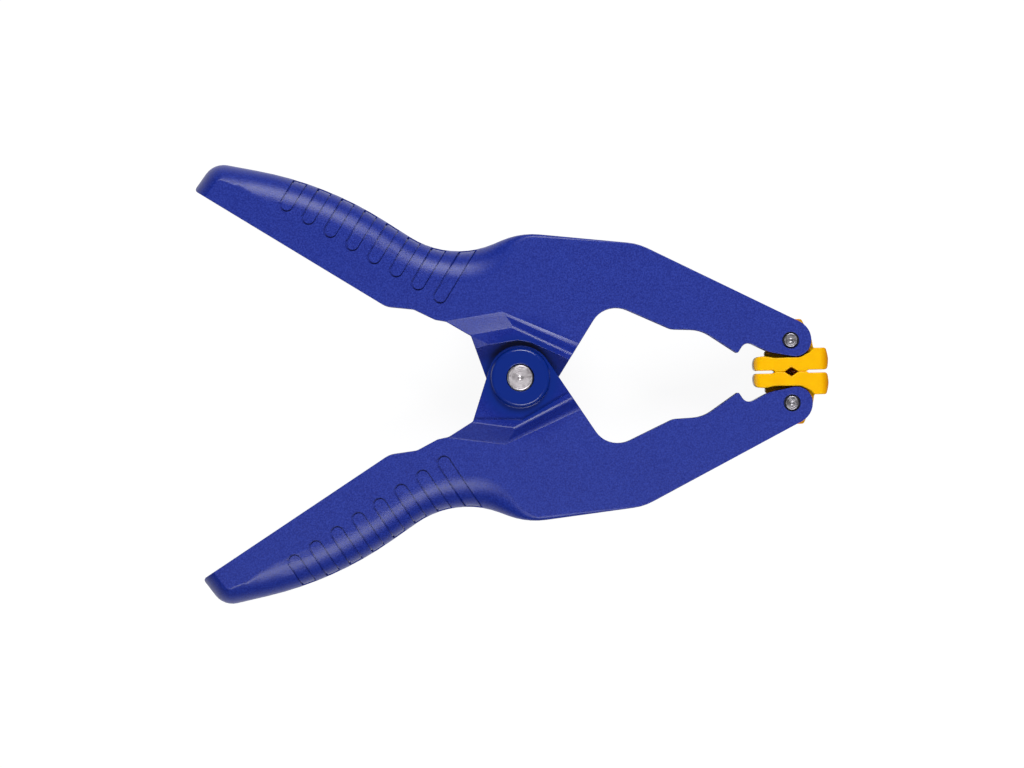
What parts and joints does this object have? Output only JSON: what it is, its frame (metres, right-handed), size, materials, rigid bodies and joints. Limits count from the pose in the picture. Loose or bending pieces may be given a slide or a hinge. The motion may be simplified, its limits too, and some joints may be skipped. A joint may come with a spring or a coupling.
{
  "type": "spring clamp",
  "caption": "Moulded one-handed spring clamp with splayed handles, crossed arms on a pivot pin, a torsion spring and swivelling jaw pads.",
  "frame": {"origin": "on the pivot axis, at the boss face the clamp lies on", "axes": "+X from the pivot to the jaws, +Y to the upper arm, +Z along the pivot pin, away from the face it lies on"},
  "size_m": [0.175, 0.1224, 0.031],
  "materials": {
    "arm_resin": "fine spark-eroded grain",
    "pad_resin": "satin",
    "pin_steel": "turned ends",
    "spring_steel": "drawn wire"
  },
  "bodies": {
    "lower": {"lower_arm": "arm_resin", "pivot_pin": "pin_steel", "torsion_spring": "spring_steel", "lower_pad_pin": "pin_steel"},
    "upper": {"upper_arm": "arm_resin", "upper_pad_pin": "pin_steel"},
    "pad_up": {"upper_pad": "pad_resin"},
    "pad_down": {"lower_pad": "pad_resin"}
  },
  "joints": [
    {"name": "jaw_hinge", "type": "hinge", "parent": "lower", "child": "upper", "pos_m": [0, 0, 0.0155], "axis": [0, 0, 1], "range_deg": [0, 40], "stiffness_Nm_per_rad": 3, "springref_deg": -57.3, "deforming": ["torsion_spring"]},
    {"name": "upper_pad_swivel", "type": "hinge", "parent": "upper", "child": "pad_up", "pos_m": [0.0755, 0.00875, 0.0155], "axis": [0, 0, 1], "range_deg": [-10, 0]},
    {"name": "lower_pad_swivel", "type": "hinge", "parent": "lower", "child": "pad_down", "pos_m": [0.0755, -0.00875, 0.0155], "axis": [0, 0, 1], "range_deg": [0, 10]}
  ],
  "couplings": [
    {"joint": "upper_pad_swivel", "follows": "jaw_hinge", "ratio": -0.25},
    {"joint": "lower_pad_swivel", "follows": "jaw_hinge", "ratio": 0.25}
  ]
}
